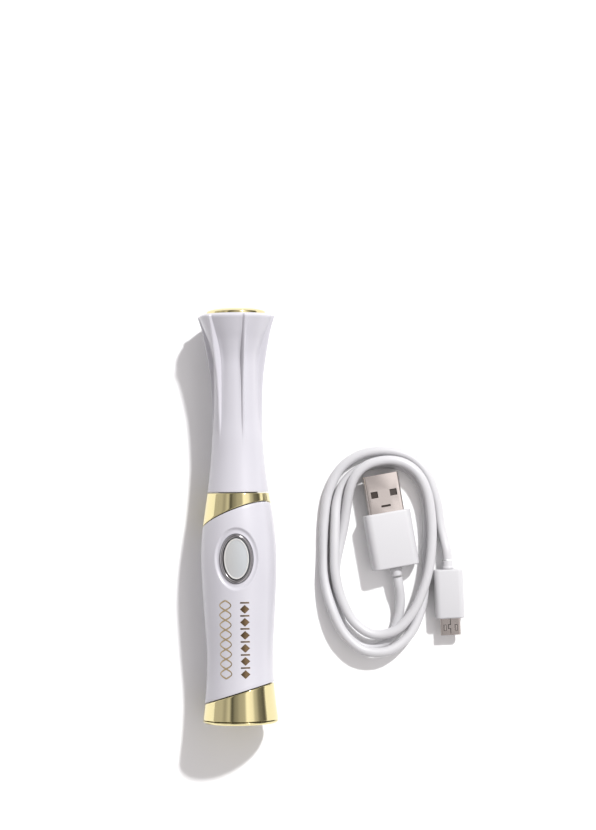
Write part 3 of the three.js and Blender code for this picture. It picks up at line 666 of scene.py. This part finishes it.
def bar(width, height, radius, start, end, edge=0.0, steps=6):
    """A rounded rectangle run along Y, its end edges rounded by edge; steps are the spans of each corner."""
    ends = [(start, edge)]
    if edge:
        ends += [(start + edge * (1 - math.cos(a)), edge * (1 - math.sin(a)))
                 for a in (0.4, 0.8, 1.2, math.pi / 2)]
    profile = ends + [(start + end - y, inset) for y, inset in reversed(ends)]
    rings = []
    for y, inset in profile:
        shape = rectangle(width - 2 * inset, height - 2 * inset, max(radius - inset, 0.05), steps)
        rings.append([Vector((x, y, z)) * MM for x, z in shape])
    mesh = loft(rings)
    mesh.verts.ensure_lookup_table()
    count = len(rings[0])
    for first in (0, len(mesh.verts) - count):
        mesh.faces.new([mesh.verts[first + i] for i in range(count)])
    bmesh.ops.recalc_face_normals(mesh, faces=mesh.faces)
    return mesh


def block(size, middle):
    """A box, by its size and its middle in millimetres."""
    mesh = bmesh.new()
    bmesh.ops.create_cube(mesh, size=1)
    scaling = Matrix.Diagonal((*[side * MM for side in size], 1))
    bmesh.ops.transform(mesh, matrix=Matrix.Translation(Vector(middle) * MM) @ scaling, verts=mesh.verts)
    return mesh


def relief(grip_length):
    """The short collar between a grip and the cord, turned about the plug's own Y axis."""
    rings = []
    for radius, behind in rounded(RELIEF_OUTLINE, 0.2, closed=False):
        y = behind - grip_length
        columns = angles(40) if radius > 0 else [0]
        rings.append([Vector((radius * math.cos(a), y, radius * math.sin(a))) * MM for a in columns])
    return loft(rings)


def plug_shell(width, height, radius, length):
    """A folded sheet-metal shell, open at both ends."""
    outer = bar(width, height, radius, -SHELL_DEPTH, length)
    inner = bar(width - 2 * SHEET_METAL, height - 2 * SHEET_METAL, radius - SHEET_METAL / 2,
                -SHELL_DEPTH - 1, length + 1)
    return combined(outer, inner, "DIFFERENCE")


def plug_grip(plug):
    """The moulded grip, with a pocket that its shell stands in."""
    width, height, radius, length = plug["grip"]
    shell_width, shell_height = plug["shell"][:2]
    body = bar(width, height, radius, -length, 0, edge=GRIP_EDGE, steps=10)
    pocket = bar(shell_width + 0.1, shell_height + 0.1, 0.6, -SHELL_DEPTH - GAP, 1)
    return combined(body, pocket, "DIFFERENCE")


def add_plug(plug):
    """One plug of the lead: shell, grip, strain relief, insulator and its contacts or latches."""
    matrix = plug_matrix(plug)

    def part(name, mesh, slot, sharp=SHARP_ANGLE):
        return piece(f"{plug['piece']}_{name}", mesh, slot, "charging_lead", [f"{plug['node']}_{name}"],
                     sharp=sharp, matrix=matrix)

    shell = plug_shell(*plug["shell"])
    for size, middle in plug["cuts"]:
        shell = combined(shell, block(size, middle), "DIFFERENCE")
    pieces = [
        part("shell", bevelled(shell, plug["shell_edge"], 2), "plug_steel", FINE_SHARP_ANGLE),
        part("grip", plug_grip(plug), "lead_white"),
        part("strain_relief", relief(plug["grip"][3]), "lead_white"),
    ]
    for name, size, middle, edge, edge_steps, slot in plug["boxes"]:
        pieces.append(part(name, bevelled(block(size, middle), edge, edge_steps), slot))
    return pieces


def add_lead():
    data = bpy.data.curves.new("charging_cord", "CURVE")
    data.dimensions = "3D"
    spline = data.splines.new("POLY")
    route = catmull_rom(CORD_ROUTE, 10)
    spline.points.add(len(route) - 1)
    for point, spot in zip(spline.points, route):
        point.co = (*spot, 1)
    data.bevel_depth = CORD_DIAMETER / 2
    data.bevel_resolution = 7
    data.use_fill_caps = True
    data.materials.append(LOOKS["lead_white"])
    cord = bpy.data.objects.new("charging_cord", data)
    bpy.context.scene.collection.objects.link(cord)
    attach(cord, "charging_lead")
    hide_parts("lead_cable")
    add_plug(USB_A) + add_plug(MICRO)


# ---- Handle ----
# Foil on the handle: how far it stands above the surface, how far it reaches below, and its points a side.
FOIL = 0.03
FOIL_SUNK = 0.08
FOIL_STEPS = 4
BRAID = {
    "x": -3.9, "sway": 1.9, "wave": 6.5, "start": 15.5, "end": 41.5, "step": 0.25, "thin": 0.17, "swell": 0.1,
}
LOZENGES = {
    "x": 2.6, "width": 3.0, "length": 2.8, "tip": 0.08, "start": 15.5, "pitch": 4.33, "count": 6,
    "bar_gap": 0.75, "bar": 0.26,
}

# The points round each oval, and the heights above the axis between which the button's hole is cut.
OVAL_COUNT = 112
HOLE_HEIGHTS = (4, 20)


def handle_radius(station):
    return curve_at(HANDLE_OUTLINE, station)


def joint_station(joint, shift, angle):
    """Where a slanted joint crosses the handle's outline at an angle round it."""
    station = joint["at"] + shift
    for _ in range(12):
        radius = handle_radius(station)
        station = (joint["at"] + shift + joint["slope_x"] * radius * math.sin(angle)
                   + joint["slope_z"] * radius * math.cos(angle))
    return station


def handle_shell(start, end, columns, rows, sunk=None):
    """A shell of the handle between two ends, each a function of the angle. rows are shares from 0 to 1 of
    the way between them, and sunk says how far a point of the outside lies below the handle's outline."""
    lip = [(LIP * (1 - math.cos(a)), LIP * (1 - math.sin(a))) for a in LIP_ANGLES]
    outer = [(0, offset, inset) for offset, inset in lip]
    outer += [(share, LIP * (1 - 2 * share), 0) for share in rows]
    outer += [(1, -offset, inset) for offset, inset in reversed(lip)]
    inner = [(1 - i / 16, 0, WALL) for i in range(17)]
    rings = []
    for share, offset, inset in outer + inner:
        ring = []
        for angle in columns:
            first, last = start(angle), end(angle)
            station = first + (last - first) * share + offset
            radius = handle_radius(station) - inset
            if sunk and inset < WALL:
                radius -= sunk(radius * math.sin(angle), station, math.cos(angle))
            ring.append(turned_at(radius, station, angle))
        rings.append(ring)
    return loft(rings, join=True)


def dish_depth(x, station, facing):
    """How far the dish round the button sinks the surface: evenly out to DISH_FLOOR of its reach, then less."""
    if facing <= 0:
        return 0
    reach = math.hypot(2 * x / DISH_OVAL[0], 2 * (station - BUTTON_STATION) / DISH_OVAL[1])
    wall = min(max((reach - DISH_FLOOR) / (1 - DISH_FLOOR), 0), 1)
    return DISH_DEPTH * (1 - wall ** DISH_CURVE)


def surface_height(x, station):
    """The height of the handle's top surface above the axis."""
    return math.sqrt(handle_radius(station) ** 2 - x * x)


def oval_loft(sizes, join=False):
    """Oval rings about the button's middle. Each is (across, along, drop below the handle's surface, height
    above the axis), with None for the one of the last two that doesn't apply."""
    rings = []
    for across, along, drop, height in sizes:
        ring = []
        for a in angles(OVAL_COUNT) if across > 0 else [0]:
            x, station = across / 2 * math.cos(a), BUTTON_STATION + along / 2 * math.sin(a)
            ring.append(at(x, station, height if drop is None else surface_height(x, station) - drop))
        rings.append(ring)
    return loft(rings, join)


def ribbon(samples):
    """A thin strip of foil laid on the handle, from (x, station, half width) samples along its middle."""
    rings = []
    for i, (x, station, half) in enumerate(samples):
        before, after = samples[max(i - 1, 0)], samples[min(i + 1, len(samples) - 1)]
        along = Vector((after[0] - before[0], after[1] - before[1])).normalized()
        across = [(x + side * along.y * half, station - side * along.x * half)
                  for side in (k / FOIL_STEPS for k in range(-FOIL_STEPS, FOIL_STEPS + 1))]
        edges = [(spot, FOIL) for spot in across] + [(spot, -FOIL_SUNK) for spot in reversed(across)]
        rings.append([at(px, ps, surface_height(px, ps) + lift) for (px, ps), lift in edges])
    mesh = loft(rings)
    mesh.verts.ensure_lookup_table()
    size = len(rings[0])
    mesh.faces.new([mesh.verts[i] for i in range(size)])
    mesh.faces.new([mesh.verts[-1 - i] for i in range(size)])
    bmesh.ops.recalc_face_normals(mesh, faces=mesh.faces)
    return mesh


def add_ornament():
    """Two columns of foil on the handle: a fine braid of two waves, and a row of lozenges with short bars."""
    strips = []
    for side in (-1, 1):
        samples = []
        for station in spaced([(BRAID["start"], BRAID["end"], BRAID["step"])]):
            turn = 2 * math.pi * (station - BRAID["start"]) / BRAID["wave"]
            x = BRAID["x"] + side * BRAID["sway"] * math.sin(turn)
            samples.append((x, station, BRAID["thin"] + BRAID["swell"] * math.cos(turn) ** 2))
        strips.append(ribbon(samples))
    for k, strip in enumerate(strips):
        piece(f"foil_braid_{k + 1}", strip, "gold_trim", "handle", looks=["foil_light"])

    x, width, length = LOZENGES["x"], LOZENGES["width"], LOZENGES["length"]
    shares = spaced([(0, 1, 0.1)])
    for k in range(LOZENGES["count"]):
        first = LOZENGES["start"] + k * LOZENGES["pitch"]
        lozenge = [(x, first + t * length, LOZENGES["tip"] + width / 2 * (1 - abs(2 * t - 1)))
                   for t in shares]
        piece(f"foil_lozenge_{k + 1}", ribbon(lozenge), "gold_trim", "handle", looks=["foil_dark"])
        beyond = first + length + LOZENGES["bar_gap"]
        short_bar = [(x + (t - 0.5) * width, beyond, LOZENGES["bar"]) for t in shares]
        piece(f"foil_bar_{k + 1}", ribbon(short_bar), "gold_trim", "handle", looks=["foil_dark"])


def add_casings():
    # The handle's mesh is finest where the dish and the button's hole are.
    dense = math.radians(42)
    columns = spaced([(-math.pi, -dense, 0.07), (-dense, dense, 0.0175), (dense, math.pi, 0.07)])[:-1]
    rows = spaced([(0, 0.5, 0.02), (0.5, 0.95, 0.0042), (0.95, 1, 0.02)])
    body = handle_shell(lambda a: joint_station(BASE_SWOOSH, SWOOSH_GAP, a),
                        lambda a: joint_station(COLLAR_SWOOSH, 0, a), columns, rows, dish_depth)
    opening = (BEZEL_OVAL[0] + GAP, BEZEL_OVAL[1] + GAP)
    low, high = HOLE_HEIGHTS
    hole = oval_loft([(0, 0, None, low), (*opening, None, low), (*opening, None, high), (0, 0, None, high)])
    piece("handle_body", combined(body, hole, "DIFFERENCE"), "white_gloss", "handle", ["body_shell"])

    even = angles(144)
    thin_rows = spaced([(0, 1, 0.05)])
    ring = handle_shell(lambda a: BASE_FLANGE + GAP, lambda a: joint_station(BASE_SWOOSH, 0, a),
                        even, thin_rows)
    piece("gold_base_ring", ring, "gold_trim", "handle", ["base_ring"])
    collar_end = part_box("neck_collar")[1][1] / MM - BASE_Y
    collar = handle_shell(lambda a: joint_station(COLLAR_SWOOSH, SWOOSH_GAP, a), lambda a: collar_end,
                          even, thin_rows)
    piece("gold_neck_collar", collar, "gold_trim", "handle", ["neck_collar"])

    spigot = BASE_SPIGOT
    outline = [(0, 0), (FLANGE_RADIUS - 0.65, 0), (FLANGE_RADIUS, 0.6), (FLANGE_RADIUS, BASE_FLANGE),
               (spigot["outer"], BASE_FLANGE), (spigot["outer"], spigot["end"]),
               (spigot["inner"], spigot["end"]), (spigot["inner"], BASE_FLANGE), (0, BASE_FLANGE)]
    cap = lathe(rounded(outline, 0.12, closed=False), 160)
    port = bar(**PORT_OPENING)
    bmesh.ops.transform(port, matrix=raised(PORT_HEIGHT), verts=port.verts)
    piece("gold_base_cap", combined(cap, port, "DIFFERENCE"), "gold_trim", "handle", ["base_cap"])


def add_button():
    top = []
    for i in range(13):
        turn = math.pi * i / 12
        share = (1 - math.cos(turn)) / 2
        size = [outer + (inner - outer) * share for outer, inner in zip(BEZEL_OVAL, BEZEL_INNER_OVAL)]
        top.append((*size, BEZEL_DROP + BEZEL_CROWN * (1 - math.sin(turn)), None))
    bezel = [(*BEZEL_OVAL, None, BEZEL_FOOT), *top, (*BEZEL_INNER_OVAL, None, BEZEL_FOOT)]
    piece("chrome_bezel", oval_loft(bezel, join=True), "dark_chrome", "handle", ["button_bezel"])

    across, along = BUTTON_OVAL
    flange_top = BUTTON_FOOT + BUTTON_FLANGE
    sizes = [(0, 0, None, BUTTON_FOOT), (*BUTTON_FLANGE_OVAL, None, BUTTON_FOOT),
             (*BUTTON_FLANGE_OVAL, None, flange_top), (across, along, None, flange_top)]
    edge = [(0, 0.5), (0.03, 0.2), (0.15, 0.05), (0.35, 0.02), (0.42, 0.1), (0.5, BUTTON_CROWN)]
    sizes += [(across - 2 * inset, along - 2 * inset, BUTTON_DROP + drop, None) for inset, drop in edge]
    rim = len(sizes) - 4
    sizes += [((across - 1) * k / 10, (along - 1) * k / 10, BUTTON_DROP + BUTTON_CROWN * (k / 10) ** 2, None)
              for k in range(9, -1, -1)]
    button = piece("button_lens", oval_loft(sizes), "button_lens", "button", ["power_button"],
                   looks=["button_lens", "lens_rim"])
    # Three rings of faces at the lens's edge have the rim's finish.
    for face in button.data.polygons:
        if face.index // OVAL_COUNT in range(rim, rim + 3):
            face.material_index = 1


# ---- Neck and curling head ----
NECK_OUTLINE = [
    (2.2, 73.0), (9.2, 73.0), (9.2, 74.4), (6.6, 74.4), (6.6, 80.25), (5.5, 80.25), (5.5, 81.75),
    (6.6, 81.75), (6.6, 85.5), (6.1, 86.0), (2.2, 86.0),
]
SEAL = {"radius": 6.25, "station": 81.0, "section": 0.42}
NOSE_OUTLINE = [(2.2, 86.3), (6.0, 86.3), (5.75, 87.4), (5.2, 89.2), (4.6, 90.8), (4.3, 92.0), (2.2, 92.0)]

HEAD_START = 92.3
HEAD_RADIUS = 3.3
SPINE_OUTLINE = [
    (0, HEAD_START), (HEAD_RADIUS, HEAD_START), (HEAD_RADIUS, 125.6), (2.8, 127.2), (1.6, 128.1), (0, 128.3),
]
# The comb is cut away above its spine, with a trough for the heater bar and a bore for the heating element.
COMB_CUTS = [((20, 31.8, 4), (0, 109, 3.3)), ((3.4, 32.2, 4), (0, 109, 2.0))]
COMB_BORE = {"width": 2.4, "height": 2.4, "radius": 1.19, "start": HEAD_START - 1, "end": 119}
COMB_BORE_HEIGHT = -1.5
HEATER_BAR = {"width": 2.6, "height": 1.7, "radius": 0.7, "start": 93.3, "end": 124.7, "edge": 0.3}
HEATER_BAR_HEIGHT = 1.3

TEETH = 14
TEETH_START = 94.4
TOOTH_PITCH = 2.25
TOOTH_THICKNESS = 0.7
TOOTH_OUTLINE = [(1.95, 0.6), (3.0, 0.6), (3.35, 2.4), (2.9, 4.5), (2.45, 4.6), (2.1, 2.6)]


def add_tooth(mesh, side, start):
    """Adds a tooth of the comb to a bmesh: its outline in x and height, and its thickness along the station.
    side is -1 or 1, and the faces' winding goes with it, so that they all face outwards."""
    near, far = [[mesh.verts.new(at(side * x, station, z)) for x, z in TOOTH_OUTLINE]
                 for station in (start, start + TOOTH_THICKNESS)]
    mesh.faces.new(near[::side])
    mesh.faces.new(far[::-side])
    for i in range(len(near)):
        j = (i + 1) % len(near)
        mesh.faces.new([near[i], near[j], far[j], far[i]][::-side])


def add_head():
    piece("white_neck", lathe(rounded(NECK_OUTLINE, 0.25)), "white_gloss", "handle", ["neck"])
    seal = [(SEAL["radius"] + SEAL["section"] * math.cos(a), SEAL["station"] + SEAL["section"] * math.sin(a))
            for a in angles(16)]
    piece("neck_seal", lathe(seal), "seal_rubber", "handle", ["cap_seat_ring"])
    piece("head_nose_cone", lathe(rounded(NOSE_OUTLINE, 0.3)), "heat_resin", "handle", ["head_nose"])

    comb = lathe(rounded(SPINE_OUTLINE, 0.3, closed=False), 72)
    bore = bar(**COMB_BORE)
    bmesh.ops.translate(bore, vec=(0, 0, COMB_BORE_HEIGHT * MM), verts=bore.verts)
    for tool in [block(size, middle) for size, middle in COMB_CUTS] + [bore]:
        bmesh.ops.transform(tool, matrix=CURLER, verts=tool.verts)
        comb = combined(comb, tool, "DIFFERENCE")
    teeth = bmesh.new()
    for i in range(TEETH):
        for side in (-1, 1):
            add_tooth(teeth, side, TEETH_START + i * TOOTH_PITCH)
    comb = bevelled(combined(comb, teeth, "UNION"), 0.09, 2)
    piece("comb_teeth", comb, "heat_resin", "handle", ["comb_frame"], sharp=FINE_SHARP_ANGLE)
    piece("gold_heater_bar", bar(**HEATER_BAR), "hot_metal", "handle", ["heater_bar"],
          matrix=raised(HEATER_BAR_HEIGHT))


# ---- Cap ----
def ridge_height(share):
    """How much of the ridge's height stands at a share of the way from one ridge to the next."""
    for (s0, h0), (s1, h1) in zip(CHANNEL_SECTION, CHANNEL_SECTION[1:]):
        if share <= s1:
            return h0 + (h1 - h0) * smoothstep(s0, s1, share)
    return 1


def add_cap():
    cap_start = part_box("cap_shell")[0][1] / MM - BASE_Y
    shares = spaced([(0, 0.12, 0.01), (0.12, 0.88, 0.04), (0.88, 1, 0.01)])[:-1]
    columns = [(math.radians(FIRST_RIDGE + (k + share) * 360 / RIDGES), ridge_height(share))
               for k in range(RIDGES) for share in shares]

    def ring(station, inset=0.0):
        ridge, floor = curve_at(RIDGE_OUTLINE, station), curve_at(FLOOR_OUTLINE, station)
        return [turned_at(floor + (ridge - floor) * height - inset, station, angle)
                for angle, height in columns]

    def round_ring(radius, station):
        return [turned_at(radius, station, angle) for angle, _ in columns] if radius else [at(0, station, 0)]

    rings = [ring(cap_start + LIP * (1 - math.cos(a)), LIP * (1 - math.sin(a))) for a in LIP_ANGLES]
    rings += [ring(station) for station in spaced([(cap_start + LIP, CAP_RIM, 0.6)])]
    # The shoulder rounds over from the ridged rim to the round edge of the end disc's seat.
    seat_radius = END_DISC_RADIUS + GAP
    outer, inner = ring(CAP_RIM), round_ring(seat_radius + 0.25, CAP_RIM)
    for k in range(1, 13):
        t = (k / 12) ** 1.6
        lift = (CAP_SHOULDER - CAP_RIM) * math.sqrt(1 - (1 - t) ** 2) * MM
        rings.append([a.lerp(b, t) + Vector((0, lift, 0)) for a, b in zip(outer, inner)])
    inside = [(seat_radius, CAP_SHOULDER), (seat_radius, DISC_SEAT), (0, DISC_SEAT),
              *CAP_BORE_OUTLINE, (CAP_SOCKET, cap_start)]
    rings += [round_ring(radius, station) for radius, station in rounded(inside, 0.2, closed=False)]
    piece("ridged_cap", loft(rings, join=True), "white_gloss", "cap", ["cap_shell"])

    dome = [(0, DISC_BACK), (END_DISC_RADIUS, DISC_BACK), (END_DISC_RADIUS, DISC_EDGE)]
    dome += [(END_DISC_RADIUS * math.cos(a), DISC_EDGE + DISC_DOME * math.sin(a))
             for a in spaced([(0.1, math.pi / 2, 0.1)])[:-1]]
    dome += [(0, DISC_EDGE + DISC_DOME)]
    piece("gold_end_disc", lathe(dome), "gold_trim", "cap", ["cap_end_disc"])
    liner = lathe(rounded(LINER_OUTLINE, 0.12))
    piece("frosted_cap_liner", liner, "frosted_plastic", "cap", ["cap_liner"])


# ---- Assembly ----
def dress_nodes():
    for node, slot in NODE_SLOTS.items():
        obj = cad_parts[node]
        obj.data.materials.clear()
        obj.data.materials.append(LOOKS[slot])


add_camera()
add_lead()
add_floor()
add_light()
add_casings()
add_ornament()
add_button()
add_head()
add_cap()
dress_nodes()
